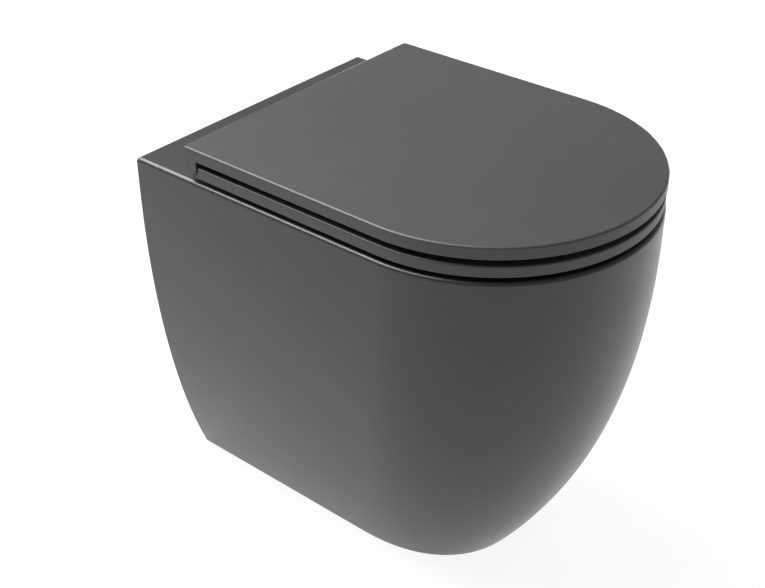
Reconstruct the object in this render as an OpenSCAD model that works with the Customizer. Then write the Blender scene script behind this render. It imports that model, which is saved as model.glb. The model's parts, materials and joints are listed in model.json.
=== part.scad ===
// Back-to-wall floor-standing toilet pan with a slim soft-close seat and cover.
// Frame: millimetres, +Z up, the front faces -Y, the wall plane is the rear face (+Y).
// Origin: middle of the bounding box at floor level.

/* [Pan] */
// Width of the pan across its top
pan_w = 360; // [350:1:370]
// Depth of the pan from the wall to its front
pan_d = 505; // [500:1:510]
// Height of the ceramic deck above the floor
deck_z = 420; // [415:1:430]
// Width of the foot where the pan meets the floor
foot_w = 238; // [230:1:250]
// How far the front of the foot is set back from the front of the rim
foot_setback = 112; // [105:1:118]
// Height above the floor below which the sides curve inward
belly_z = 378; // [370:1:385]
// Thickness of the ceramic
ceramic_t = 11; // [10:0.5:12]
// Rounding of the outer edge of the deck
deck_round = 4.5; // [3:0.5:6]
// Half the width of the bowl opening
bowl_half_w = 121; // [115:1:124]

/* [Pipes] */
// Height of the flush inlet above the floor
inlet_z = 335; // [330:1:345]
// Radius of the flush pipe that the inlet seal takes
inlet_r = 27.5; // [25:0.5:28]
// Height of the outlet above the floor
outlet_z = 180; // [180:1:190]
// Outside radius of the outlet spigot
outlet_r = 51; // [50:0.5:55]

/* [Seat and cover] */
// Width of the cover
cover_w = 357.5; // [355:0.5:358]
// Distance from the wall to the rear edge of the cover
cover_setback = 74.7; // [74:0.1:78]
// Thickness of the cover at its edge
cover_t = 13.1; // [12:0.1:14]
// Thickness of the top of the cover
cover_skin = 6.2; // [5:0.1:7]
// Thickness of the seat ring
seat_t = 12.7; // [12:0.1:13]
// Gap between the deck and the seat ring
seat_gap = 4.4; // [4:0.1:5]
// Gap between the seat ring and the cover
cover_gap = 6.7; // [6:0.1:7]
// How much narrower the seat ring is than the cover, on each side
seat_inset = 0.5; // [0:0.1:1]
// Radius of the seat opening
opening_r = 108; // [100:1:112]
// Straight length of the seat opening
opening_straight = 62; // [50:1:70]

/* [Hinges] */
// Distance from the middle to each mounting post
post_x = 77.5; // [77:0.5:78]
// Height of the hinge axis above the deck
axis_rise = 15; // [14.8:0.1:15.2]
// Radius of the round bottom of the cover's hinge blocks
block_r = 8.9; // [8.6:0.1:9]
// Running clearance of shafts and posts, on the radius
running = 0.05; // [0.03:0.01:0.08]

/* [Hidden] */
$fn = 64;

ceramic_colour = [0.27, 0.27, 0.28];
seat_colour = [0.24, 0.24, 0.25];
rubber_colour = [0.08, 0.08, 0.08];
plastic_colour = [0.16, 0.16, 0.17];
steel_colour = [0.68, 0.69, 0.71];

// a distance d from the wall is at y = wall_y - d
wall_y = pan_d / 2;

// The skirt: a D-shaped plan, whose sides, front and straight length shrink towards the foot
skirt_arc = 511;
skirt_side = 326;
foot_side = 252.5;
foot_power = 2.42;
nose_steps = 32;
side_steps = 4;
back_steps = 6;
skirt_levels = [0, 14, 30, 50, 75, 105, 140, 180, 225, 275, 325, 365];
hollow_levels = [0, 25, 60, 105, 160, 225, 300, 365];

// The bowl, from the rim down: [height below the deck, half width, rear, front]
bowl_rear = 164;
bowl_front = 451;
rim_round = 6;
bowl_rows = [
    [60, bowl_half_w, bowl_rear, bowl_front],
    [76, bowl_half_w - 4, 168, 446],
    [110, 104, 180, 430],
    [150, 84, 197, 404],
    [186, 67, 214, 378],
    [220, 56, 229, 356],
    [262, 49, 238, 340],
    [300, 44, 242, 332],
    [324, 37, 250, 322],
    [334, 24, 265, 306]
];

// The trapway leaves the sump level, rises, turns over a crest, drops and comes level again at the outlet.
// Its places are [distance from the wall, height, heading in degrees above level, inside radius].
trap_t = 9;
trap_sides = 16;
trap_start = [316, 112, 0, 27];
trap_rise = 66;
trap_fall = 38;
crest_z = 217;
rise_r = 44;
crest_r = 42;
exit_r = 56;
bend_steps = 6;
// Each bend: [straight length before it, bend radius, turn in degrees, inside radius after it]
trap_bends = [
    [48, rise_r, trap_rise, 27],
    [(crest_z - trap_start[1] - (rise_r + crest_r) * (1 - cos(trap_rise))) / sin(trap_rise), crest_r,
        -trap_rise - trap_fall, 31],
    [(crest_z - outlet_z - (crest_r + exit_r) * (1 - cos(trap_fall))) / sin(trap_fall), exit_r, trap_fall, 40]
];
trap_tail = 6;
spigot_end = 40;
spigot_start = 90;
spigot_bore_r = 45;
inlet_mouth = 58;
inlet_seat_r = 30;
inlet_seat_end = 92;
flush_way_r = 22;
seal_end = 80;
seal_lip = [3, 5];
restrictor_d = [82, 88];
restrictor_r = 15;
restrictor_hole_r = 3;
restrictor_hole_at = 22;
// Right half of the outline of the way in at the back: [half width, height]
rear_way = [[98, -1], [126, 110], [144, 230], [146, 372], [124, 394]];

// Seat set heights and distances
seat_z = deck_z + seat_gap;
seat_top = seat_z + seat_t;
cover_z = seat_top + cover_gap;
cover_top = cover_z + cover_t;
axis_d = cover_setback + block_r;
axis_y = wall_y - axis_d;
axis_z = deck_z + axis_rise;
nose_r = cover_w / 2;
cover_front = 504.1;
nose_d = cover_front - nose_r;
nose_y = wall_y - nose_d;
seat_r = nose_r - seat_inset;
cover_round = 2.5;
seat_round = 2;
rim_w = 4;
slab_facets = 128;
opening_back = 5;

// Stations along the hinge axis, from the middle outwards
button_in = 57;
housing_in = 62;
housing_out = 92;
knuckle_in = 92.5;
knuckle_out = 104.5;
block_in = 105;
shaft_out = 121;
damper_in = 66;
shaft_in = 84;
notch_in = 56;

// Hinge details
post_ahead = 14;
post_y = axis_y - post_ahead;
post_r = 5;
groove_r = 3.6;
groove_z = [8.5, 11.5];
flange_r = 12;
flange_z = [1, 3.5];
post_top = 17;
thread_r = 4;
thread_end = -44;
eye_r = 9;
damper_r = 7;
shaft_r = 4;
key_w = 8;
bush_r = 6;
scoop_r = 10.8;
housing_front = 23;
housing_base = 3.6;
button_h = 6;
button_w = 10;
button_z = deck_z + 7;
button_depth = 11;
seat_notch = 28;
knuckle_lift = 1.6;
notch_depth = 2.2;
hole_r = 7;
pocket_end = 88;
pocket_gap = 0.2;
housing_corner = [6, 5];
clip = [9.3, 7.7, 9.8];
clip_z = 9;
clip_t = 2;
sleeve_l = 28;
sleeve_bulge = 2.5;
nut_top = 28;
nut_h = 8;
nut_r = 8;
nut_cone = [6, 4];

// Floor fixing
lug_z = [48, 62];
lug_x = [62, 128];
lug_half_d = 18;
bracket_x = [62, 106];
bracket_d = [78, 154];
bracket_t = 4;
gusset = [34, 36, 6];
boss_r = 9;
boss_top = 44;
floor_hole = [80, 137];
floor_hole_r = 4.5;
pad_r = 11;
washer_t = 2;
screw_head = [6.5, 8];
screw_socket = [3.5, 5];
lug_hole_r = 6;
screw_tip = 10;

function from_wall(d) = wall_y - d;

// ---- shapes that repeat ----

// Moves its children to a place on both sides of the middle
module both_sides(x) {
    for (side = [-1, 1]) translate([side * x, 0, 0]) children();
}

// A cylinder along X between two stations on the given side (-1 left, 1 right) of the hinge axis
module axle(side, from, to, r) {
    translate([side < 0 ? -to : from, axis_y, axis_z])
        rotate([0, 90, 0]) cylinder(r = r, h = to - from);
}

// A square bar along the hinge axis between two stations
module axle_key(side, from, to, w) {
    translate([side < 0 ? -to : from, axis_y - w / 2, axis_z - w / 2]) cube([to - from, w, w]);
}

// A ring standing on z = 0
module ring(outer, inner, h) {
    difference() {
        cylinder(r = outer, h = h);
        translate([0, 0, -1]) cylinder(r = inner, h = h + 2);
    }
}

// A solid with a D-shaped plan: its child is the half profile, [0..radius] by height.
// The front is a half turn of it, and the sides run straight back to rear_d.
module d_solid(rear_d) {
    translate([0, nose_y, 0]) rotate([0, 0, 180]) rotate_extrude(angle = 180, $fn = slab_facets) children();
    length = nose_d - rear_d;
    for (m = [0, 1])
        translate([0, nose_y + length, 0]) mirror([m, 0, 0])
            rotate([90, 0, 0]) linear_extrude(length) children();
}

// Half profile of a slab with its outer edges rounded: r_low at the bottom, r_high at the top
module slab_profile(r, low, high, r_low, r_high) {
    difference() {
        translate([0, low]) square([r, high - low]);
        edge_cut(r, high, r_high, 1);
        edge_cut(r, low, r_low, -1);
    }
}

// What a rounding takes off an outer corner of a half profile; up is 1 for a top edge, -1 for a bottom edge
module edge_cut(r, z, round_r, up) {
    if (round_r > 0)
        translate([r - round_r, z]) mirror([0, up > 0 ? 1 : 0]) difference() {
            translate([0, -1]) square([round_r + 1, round_r + 1]);
            translate([0, round_r]) circle(r = round_r);
        }
}

// A closed solid through a stack of rings with the same number of points, the lowest first
module ring_stack(rings) {
    m = len(rings[0]);
    top = len(rings) - 1;
    polyhedron(
        points = [for (r = rings) for (p = r) p],
        faces = concat(
            [[for (j = [0 : m - 1]) j]],
            [for (k = [0 : top - 1]) for (j = [0 : m - 1])
                [k * m + j, (k + 1) * m + j, (k + 1) * m + (j + 1) % m]],
            [for (k = [0 : top - 1]) for (j = [0 : m - 1])
                [k * m + j, (k + 1) * m + (j + 1) % m, k * m + (j + 1) % m]],
            [[for (j = [m - 1 : -1 : 0]) top * m + j]]
        )
    );
}

// ---- the ceramic pan ----

// How far the skirt has curved in at height z: 0 at the belly, 1 at the floor
function arc_drop(z) = z >= belly_z ? 0 : 1 - sqrt(1 - pow((belly_z - z) / skirt_arc, 2));
function curve_in(z) = arc_drop(z) / arc_drop(0);
function signed_pow(v, p) = sign(v) * pow(abs(v), p);

// A D-shaped ring of points, counter-clockwise from above, with distances from the wall
function d_ring(half_w, back, side, tip, power) = concat(
    [for (i = [0 : nose_steps]) let (a = 180 * i / nose_steps)
        [-half_w * signed_pow(cos(a), 2 / power), side + (tip - side) * pow(sin(a), 2 / power)]],
    [for (i = [1 : side_steps - 1]) [half_w, side + (back - side) * i / side_steps]],
    [for (i = [0 : back_steps]) [half_w - 2 * half_w * i / back_steps, back]],
    [for (i = [1 : side_steps - 1]) [-half_w, back + (side - back) * i / side_steps]]
);

// The skirt's ring at height z, moved inward by inset
function skirt_ring(z, inset) = let (c = curve_in(z))
    [for (p = d_ring(
        pan_w / 2 - (pan_w - foot_w) / 2 * c - inset, inset,
        skirt_side + (foot_side - skirt_side) * c, pan_d - foot_setback * c - inset,
        2 + (foot_power - 2) * c)) [p[0], from_wall(p[1]), z]];

// Directions in which the bowl's rings place their points, one for each point of the skirt's ring
ring_mid = pan_d / 2;
bowl_turns = [for (p = d_ring(pan_w / 2, 0, skirt_side, pan_d, 2))
    atan2((p[1] - ring_mid) / ring_mid, p[0] / (pan_w / 2))];

// An oval ring of the bowl at height z
function bowl_ring(z, half_w, rear, front) =
    [for (t = bowl_turns) [half_w * cos(t), from_wall((rear + front) / 2 + (front - rear) / 2 * sin(t)), z]];

bowl_drop = 6;
function outer_bowl(row) =
    bowl_ring(deck_z - row[0] - bowl_drop, row[1] + ceramic_t, row[2] - ceramic_t, row[3] + ceramic_t);
function inner_bowl(row) = bowl_ring(deck_z - row[0], row[1], row[2], row[3]);
function rim_ring(z, grow) = bowl_ring(z, bowl_half_w + grow, bowl_rear - grow, bowl_front + grow);

under_deck = deck_z - ceramic_t - 1;
last_row = len(bowl_rows) - 1;
sump_row = 4;
// The bottom of the bowl's outside: [half width, rear, front]
bowl_end = [20, 268, 303];

// Quarter-round steps, in degrees, for the deck's outer edge and the rim
round_steps = [0, 30, 60, 90];

// Skirt, deck and bowl as one skin, open underneath
module pan_shell() ring_stack(concat(
    [bowl_ring(deck_z - bowl_rows[last_row][0] - ceramic_t, bowl_end[0], bowl_end[1], bowl_end[2])],
    [for (i = [last_row : -1 : 0]) outer_bowl(bowl_rows[i])],
    [bowl_ring(under_deck, bowl_half_w + ceramic_t, bowl_rear - ceramic_t, bowl_front + ceramic_t)],
    [skirt_ring(under_deck, ceramic_t)],
    [for (i = [len(hollow_levels) - 1 : -1 : 0]) skirt_ring(hollow_levels[i], ceramic_t)],
    [for (z = skirt_levels) skirt_ring(z, 0)],
    [for (a = round_steps) skirt_ring(deck_z - deck_round * (1 - sin(a)), deck_round * (1 - cos(a)))],
    [for (i = [len(round_steps) - 1 : -1 : 0]) let (a = round_steps[i])
        rim_ring(deck_z - rim_round * (1 - sin(a)), rim_round * (1 - cos(a)))],
    [for (row = bowl_rows) inner_bowl(row)]
));

// The lower part of the bowl, out to half way through its wall: keeps the trapway's wall out of the sump
module sump_room() ring_stack([for (i = [last_row : -1 : sump_row])
    let (row = bowl_rows[i], half = ceramic_t / 2)
    bowl_ring(deck_z - row[0] - half / 2, row[1] + half, row[2] - half, row[3] + half)]);

// The places along the trapway's centre line from the given place through bend i and those after it
function trap_places(at, i) = i == len(trap_bends) ? [] :
    let (bend = trap_bends[i], r = sign(bend[2]) * bend[1],
        d = at[0] - bend[0] * cos(at[2]), z = at[1] + bend[0] * sin(at[2]),
        places = [for (k = [0 : bend_steps]) let (a = at[2] + bend[2] * k / bend_steps)
            [d - r * (sin(a) - sin(at[2])), z + r * (cos(at[2]) - cos(a)), a,
                at[3] + (bend[3] - at[3]) * k / bend_steps]])
    concat(places, trap_places(places[bend_steps], i + 1));
trap_bent = trap_places(trap_start, 0);
trap_exit = trap_bent[len(trap_bent) - 1];
trap_line = concat([trap_start], trap_bent, [trap_exit - [trap_tail, 0, 0, 0]]);

// A round tube along the trapway's centre line, its radius grown by extra
module trap_tube(extra) ring_stack([for (p = trap_line)
    [for (k = [0 : trap_sides - 1]) let (a = -360 * (k + 0.5) / trap_sides, r = p[3] + extra)
        [r * cos(a), from_wall(p[0] + r * sin(a) * sin(p[2])), p[1] + r * sin(a) * cos(p[2])]]
]);

// A cylinder along Y between two distances from the wall
module pipe(from, to, z, r) {
    translate([0, from_wall(from), z]) rotate([90, 0, 0]) cylinder(r = r, h = to - from);
}

// The way in at the back for pipes and fixings
module rear_opening() {
    translate([0, from_wall(-1), 0]) rotate([90, 0, 0]) linear_extrude(ceramic_t + 2)
        polygon(concat(rear_way, [for (i = [len(rear_way) - 1 : -1 : 0]) [-rear_way[i][0], rear_way[i][1]]]));
}

module pan() color(ceramic_colour) difference() {
    union() {
        pan_shell();
        difference() {
            trap_tube(trap_t);
            sump_room();
        }
        pipe(spigot_end, spigot_start, outlet_z, outlet_r);
        pipe(inlet_mouth, bowl_rear - 1, inlet_z, inlet_seat_r + ceramic_t);
        for (side = [0, 1]) mirror([side, 0, 0])
            translate([lug_x[0], post_y - lug_half_d, lug_z[0]])
                cube([lug_x[1] - lug_x[0], 2 * lug_half_d, lug_z[1] - lug_z[0]]);
    }
    trap_tube(0);
    pipe(spigot_end - 1, trap_exit[0] - trap_tail + 1, outlet_z, spigot_bore_r);
    pipe(inlet_mouth - 1, inlet_seat_end, inlet_z, inlet_seat_r);
    pipe(inlet_seat_end - 1, bowl_rear + 2 * ceramic_t, inlet_z, flush_way_r);
    both_sides(post_x) translate([0, post_y, under_deck - 1]) cylinder(r = hole_r, h = ceramic_t + 3);
    both_sides(post_x) translate([0, post_y, lug_z[0] - 1]) cylinder(r = lug_hole_r, h = lug_z[1] - lug_z[0] + 2);
    rear_opening();
}

// ---- flush inlet ----

module inlet_seal() color(rubber_colour) {
    difference() {
        union() {
            pipe(inlet_mouth, seal_end, inlet_z, inlet_seat_r);
            pipe(inlet_mouth - seal_lip[0], inlet_mouth, inlet_z, inlet_seat_r + seal_lip[1]);
        }
        pipe(inlet_mouth - seal_lip[0] - 1, seal_end + 1, inlet_z, inlet_r);
    }
}

module flow_restrictor() color(plastic_colour) difference() {
    pipe(restrictor_d[0], restrictor_d[1], inlet_z, inlet_seat_r);
    pipe(restrictor_d[0] - 1, restrictor_d[1] + 1, inlet_z, restrictor_r);
    for (a = [45 : 90 : 315])
        translate([restrictor_hole_at * cos(a), 0, restrictor_hole_at * sin(a)])
            pipe(restrictor_d[0] - 1, restrictor_d[1] + 1, inlet_z, restrictor_hole_r);
}

// ---- concealed floor fixing ----

module floor_bracket(side) color(steel_colour) difference() {
    union() {
        translate([side < 0 ? -bracket_x[1] : bracket_x[0], from_wall(bracket_d[1]), 0])
            cube([bracket_x[1] - bracket_x[0], bracket_d[1] - bracket_d[0], bracket_t]);
        translate([side * post_x, post_y, 0]) cylinder(r = boss_r, h = boss_top);
        translate([side * post_x - bracket_t / 2, post_y - gusset[0], 0]) rotate([90, 0, 90])
            linear_extrude(bracket_t)
                polygon([[0, 0], [gusset[0], 0], [gusset[0], gusset[1]], [gusset[0] - gusset[2], gusset[1]]]);
    }
    translate([side * post_x, post_y, -1]) cylinder(r = thread_r, h = boss_top + 2);
    translate([side * floor_hole[0], from_wall(floor_hole[1]), -1]) cylinder(r = floor_hole_r, h = bracket_t + 2);
}
module floor_bracket_left() floor_bracket(-1);
module floor_bracket_right() floor_bracket(1);

module clamp_pads() color(rubber_colour) both_sides(post_x)
    translate([0, post_y, boss_top]) ring(pad_r, thread_r + 1, lug_z[0] - boss_top);

module clamp_washers() color(steel_colour) both_sides(post_x)
    translate([0, post_y, lug_z[1]]) ring(flange_r, thread_r + 0.2, washer_t);

module clamp_screws() color(steel_colour) both_sides(post_x) translate([0, post_y, 0]) {
    head_z = lug_z[1] + washer_t;
    translate([0, 0, screw_tip]) cylinder(r = thread_r, h = head_z - screw_tip);
    translate([0, 0, head_z]) difference() {
        cylinder(r = screw_head[0], h = screw_head[1]);
        translate([0, 0, screw_head[1] - screw_socket[1]])
            cylinder(r = screw_socket[0], h = screw_head[1], $fn = 6);
    }
}

// ---- posts that hold the seat set ----

module hinge_post(side) color(steel_colour) translate([side * post_x, post_y, deck_z]) {
    translate([0, 0, thread_end]) cylinder(r = thread_r, h = flange_z[0] - thread_end);
    translate([0, 0, flange_z[0]]) cylinder(r = flange_r, h = flange_z[1] - flange_z[0]);
    translate([0, 0, flange_z[1]]) cylinder(r = post_r, h = groove_z[0] - flange_z[1]);
    translate([0, 0, groove_z[0]]) cylinder(r = groove_r, h = groove_z[1] - groove_z[0]);
    translate([0, 0, groove_z[1]]) cylinder(r = post_r, h = post_top - 1 - groove_z[1]);
    translate([0, 0, post_top - 1]) cylinder(r1 = post_r, r2 = post_r - 1, h = 1);
}
module hinge_post_left() hinge_post(-1);
module hinge_post_right() hinge_post(1);

module post_washers() color(rubber_colour) both_sides(post_x)
    translate([0, post_y, deck_z]) ring(flange_r + 0.5, thread_r + 0.2, flange_z[0]);

module expansion_sleeves() color(rubber_colour) both_sides(post_x) translate([0, post_y, 0]) {
    sleeve_z = deck_z - sleeve_l;
    difference() {
        union() {
            translate([0, 0, sleeve_z]) cylinder(r = hole_r - 0.1, h = deck_z - sleeve_z);
            translate([0, 0, sleeve_z]) cylinder(r = hole_r + sleeve_bulge, h = under_deck - sleeve_z);
        }
        translate([0, 0, sleeve_z - 1]) cylinder(r = thread_r, h = deck_z - sleeve_z + 2);
    }
}

module sleeve_nuts() color(steel_colour) both_sides(post_x)
    translate([0, post_y, deck_z - nut_top - nut_h - nut_cone[1]]) difference() {
        union() {
            cylinder(r = nut_r, h = nut_h, $fn = 6);
            translate([0, 0, nut_h]) cylinder(r1 = nut_r, r2 = nut_cone[0], h = nut_cone[1]);
        }
        translate([0, 0, -1]) cylinder(r = thread_r, h = nut_h + nut_cone[1] + 2);
    }

// ---- hinge housings with their dampers and release buttons ----

module housing_profile() {
    top = housing_corner[0];
    corner_r = housing_corner[1];
    circle(r = eye_r);
    difference() {
        translate([-housing_front, housing_base - axis_rise])
            square([housing_front, top - housing_base + axis_rise]);
        translate([-housing_front, top]) mirror([0, 1]) difference() {
            translate([-1, -1]) square([corner_r + 1, corner_r + 1]);
            translate([corner_r, corner_r]) circle(r = corner_r);
        }
    }
}

module hinge_housing(side) color(plastic_colour) difference() {
    translate([side < 0 ? -housing_out : housing_in, axis_y, axis_z])
        rotate([90, 0, 90]) linear_extrude(housing_out - housing_in) housing_profile();
    axle(side, damper_in, housing_out + 1, damper_r);
    translate([side * post_x, post_y, deck_z]) cylinder(r = post_r + running, h = post_top + 0.3);
    translate([side < 0 ? -pocket_end : housing_in - 1, post_y - button_w / 2 - pocket_gap,
        button_z - pocket_gap])
        cube([pocket_end - housing_in + 1, button_w + 2 * pocket_gap, button_h + 2 * pocket_gap]);
}
module hinge_housing_left() hinge_housing(-1);
module hinge_housing_right() hinge_housing(1);

module damper(side) color(plastic_colour) difference() {
    axle(side, damper_in, housing_out, damper_r);
    axle(side, shaft_in - 0.5, housing_out + 1, shaft_r + running);
}
module damper_left() damper(-1);
module damper_right() damper(1);

module release_button(side) color(plastic_colour)
    translate([side < 0 ? -button_in - button_depth : button_in, post_y - button_w / 2, button_z])
        cube([button_depth, button_w, button_h]);
module release_button_left() release_button(-1);
module release_button_right() release_button(1);

// A sprung fork that lies in the post's groove
module release_clip(side) color(steel_colour)
    translate([side * post_x, post_y, deck_z + clip_z]) mirror([side < 0 ? 1 : 0, 0, 0])
        linear_extrude(clip_t) difference() {
            slot_r = groove_r + 0.1;
            translate([-clip[0], -clip[2] / 2]) square([clip[0] + clip[1], clip[2]]);
            circle(r = slot_r);
            translate([0, -slot_r]) square([clip[1] + 1, 2 * slot_r]);
        }
module release_clip_left() release_clip(-1);
module release_clip_right() release_clip(1);

// ---- seat ----

// The seat opening: a straight-sided oval
module seat_opening() {
    front_y = nose_y - opening_back;
    translate([0, 0, seat_z - 1]) linear_extrude(seat_t + 2) {
        translate([0, front_y]) circle(r = opening_r);
        translate([0, front_y + opening_straight]) circle(r = opening_r);
        translate([-opening_r, front_y]) square([2 * opening_r, opening_straight]);
    }
}

module seat_ring() color(seat_colour) difference() {
    union() {
        difference() {
            d_solid(axis_d + 1) slab_profile(seat_r, seat_z, seat_top, seat_round, seat_round);
            seat_opening();
            // the rear edge clears the cover's round hinge blocks and the housings
            axle(1, -nose_r, nose_r, scoop_r);
            translate([-nose_r, axis_y - scoop_r, axis_z]) cube([2 * nose_r, 20, 20]);
            translate([-knuckle_in, axis_y - seat_notch, seat_z - 1])
                cube([2 * knuckle_in, seat_notch + 20, seat_t + 2]);
        }
        for (side = [-1, 1]) {
            axle(side, knuckle_in, knuckle_out, eye_r);
            translate([side < 0 ? -knuckle_out : knuckle_in, axis_y - seat_notch, seat_z + knuckle_lift])
                cube([knuckle_out - knuckle_in, seat_notch, seat_t - knuckle_lift]);
        }
    }
    axle(-1, knuckle_in - 1, knuckle_out + 1, bush_r);
    axle_key(1, knuckle_in - 1, knuckle_out + 1, key_w);
}

// The seat's shaft is keyed to the seat, turned by the right damper, and runs in the cover's bush
module seat_shaft() color(steel_colour) {
    axle(1, shaft_in, knuckle_in, shaft_r);
    axle_key(1, knuckle_in, knuckle_out, key_w);
    axle(1, knuckle_out, shaft_out, shaft_r);
}

module seat_bush() color(plastic_colour) difference() {
    axle(-1, knuckle_in, knuckle_out, bush_r);
    axle(-1, knuckle_in - 1, knuckle_out + 1, shaft_r + running);
}

buffer_r = 7;
seat_buffer_places = [[-146, 176], [146, 176], [-118, 430], [118, 430]];
cover_buffer_places = [[-140, 190], [140, 190], [-100, 448], [100, 448]];

module seat_buffers() color(rubber_colour)
    for (p = seat_buffer_places)
        translate([p[0], from_wall(p[1]), deck_z + 0.2]) {
            cylinder(r1 = buffer_r - 1, r2 = buffer_r, h = 1);
            translate([0, 0, 1]) cylinder(r = buffer_r, h = seat_gap - 1.2);
        }

// ---- cover ----

module cover() color(seat_colour) difference() {
    union() {
        difference() {
            d_solid(cover_setback) slab_profile(nose_r, cover_z, cover_top, 0, cover_round);
            // the hollow underneath leaves a rim all round
            d_solid(cover_setback + rim_w) slab_profile(nose_r - rim_w, cover_z - 1, cover_top - cover_skin, 0, 0);
        }
        // blocks that wrap down round the hinge axis at both ends
        for (side = [-1, 1]) {
            axle(side, block_in, nose_r, block_r);
            translate([side < 0 ? -nose_r : block_in, axis_y - block_r, axis_z])
                cube([nose_r - block_in, 2 * block_r, cover_top - cover_round - axis_z]);
        }
    }
    // room for the housings and the seat's knuckles
    for (side = [-1, 1])
        translate([side < 0 ? -block_in : notch_in, axis_y - 1, cover_z - 1])
            cube([block_in - notch_in, 20, cover_top - cover_skin + notch_depth - cover_z + 1]);
    axle_key(-1, block_in - 1, shaft_out, key_w);
    axle(1, block_in - 1, shaft_out, bush_r);
}

// The cover's shaft is keyed to the cover, turned by the left damper, and runs in the seat's bush
module cover_shaft() color(steel_colour) {
    axle(-1, shaft_in, block_in, shaft_r);
    axle_key(-1, block_in, shaft_out, key_w);
}

module cover_bush() color(plastic_colour) difference() {
    axle(1, block_in, shaft_out, bush_r);
    axle(1, block_in - 1, shaft_out + 1, shaft_r + running);
}

module cover_buffers() color(rubber_colour)
    for (p = cover_buffer_places)
        translate([p[0], from_wall(p[1]), seat_top + 0.2]) {
            cylinder(r1 = buffer_r - 1, r2 = buffer_r, h = 1);
            translate([0, 0, 1]) cylinder(r = buffer_r, h = cover_top - cover_skin - seat_top - 1.2);
        }

pan();
inlet_seal();
flow_restrictor();
floor_bracket_left();
floor_bracket_right();
clamp_screws();
clamp_washers();
clamp_pads();
hinge_post_left();
hinge_post_right();
post_washers();
expansion_sleeves();
sleeve_nuts();
hinge_housing_left();
hinge_housing_right();
damper_left();
damper_right();
release_button_left();
release_button_right();
release_clip_left();
release_clip_right();
seat_ring();
seat_shaft();
seat_bush();
seat_buffers();
cover();
cover_shaft();
cover_bush();
cover_buffers();
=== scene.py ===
"""A back-to-wall toilet pan with a slim soft-close seat and cover, in a pale studio.

Everything is in metres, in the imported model's frame: +Z up, -Y to the front, the wall at +Y.
A distance from the wall, written d, is at y = WALL_Y - d.
"""

import json
import math

import bmesh
import bpy
from mathutils import Matrix, Vector


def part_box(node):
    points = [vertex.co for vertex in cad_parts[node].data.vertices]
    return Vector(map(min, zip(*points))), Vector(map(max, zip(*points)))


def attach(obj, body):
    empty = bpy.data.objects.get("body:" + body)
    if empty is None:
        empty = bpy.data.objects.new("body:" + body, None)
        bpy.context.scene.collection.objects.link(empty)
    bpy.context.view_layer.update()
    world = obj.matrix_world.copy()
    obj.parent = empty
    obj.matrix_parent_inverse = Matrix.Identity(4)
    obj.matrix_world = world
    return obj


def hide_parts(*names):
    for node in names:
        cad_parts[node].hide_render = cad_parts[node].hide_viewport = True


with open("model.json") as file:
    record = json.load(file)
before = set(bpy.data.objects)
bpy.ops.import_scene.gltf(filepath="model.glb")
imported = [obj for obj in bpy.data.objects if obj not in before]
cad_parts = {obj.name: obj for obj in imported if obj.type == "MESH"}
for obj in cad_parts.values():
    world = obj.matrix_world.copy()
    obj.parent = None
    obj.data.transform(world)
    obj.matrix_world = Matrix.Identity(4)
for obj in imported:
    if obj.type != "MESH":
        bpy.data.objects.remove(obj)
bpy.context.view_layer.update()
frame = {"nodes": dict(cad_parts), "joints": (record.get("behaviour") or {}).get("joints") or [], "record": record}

MM = 0.001

# ---- sizes read from the CAD frame ----

pan_low, pan_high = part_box("pan")
cover_low, cover_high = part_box("cover")
WALL_Y = pan_high.y
PAN_HALF_W = pan_high.x
PAN_D = pan_high.y - pan_low.y
DECK_Z = pan_high.z
AXIS = Vector(next(j for j in frame["joints"] if j["name"] == "seat_hinge")["pos_m"])

# ---- sizes that the shapes add to it ----

CERAMIC_T = 11 * MM
DECK_ROUND = 4.5 * MM
FOOT_ROUND = 1.2 * MM
CORNER_ROUND = 2.5 * MM
FOOT_HALF_W = 119 * MM
FOOT_SETBACK = 112 * MM
BELLY_Z = 378 * MM
SKIRT_ARC = 511 * MM
SKIRT_SIDE = 326 * MM
FOOT_SIDE = 252.5 * MM
FOOT_POWER = 2.42
UNDER_DECK = DECK_Z - CERAMIC_T - 1 * MM

NOSE_STEPS = 120
SIDE_STEPS = 16
CORNER_STEPS = 4
BACK_STEPS = 24
SKIRT_STEPS = 44
ROUND_STEPS = 6


def at_wall(d):
    """The y of a distance from the wall."""
    return WALL_Y - d


# ---- mesh helpers ----


def mesh_object(name, points, faces, material_ids=None):
    """A new object with this mesh, smooth shaded."""
    mesh = bpy.data.meshes.new(name)
    mesh.from_pydata([tuple(p) for p in points], [], faces)
    for i, polygon in enumerate(mesh.polygons):
        polygon.use_smooth = True
        polygon.material_index = material_ids[i] if material_ids else 0
    obj = bpy.data.objects.new(name, mesh)
    bpy.context.scene.collection.objects.link(obj)
    return obj


def ring_stack(name, rings, closed=False, material_of=None):
    """A solid through rings of the same number of points, counter-clockwise from above and the lowest first.

    A closed stack joins its last ring to its first, and any other one is capped at both ends.
    material_of(k) is the material number of the band that starts at ring k.
    """
    m = len(rings[0])
    points = [p for ring in rings for p in ring]
    bands = len(rings) if closed else len(rings) - 1
    faces, ids = [], []
    for k in range(bands):
        low, high = k * m, (k + 1) % len(rings) * m
        for j in range(m):
            n = (j + 1) % m
            faces.append((low + j, low + n, high + n, high + j))
            ids.append(material_of(k) if material_of else 0)
    if not closed:
        faces.append(tuple(range(m - 1, -1, -1)))
        faces.append(tuple(range(bands * m, bands * m + m)))
        ids += [material_of(0), material_of(bands - 1)] if material_of else [0, 0]
    return mesh_object(name, points, faces, ids)


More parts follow.
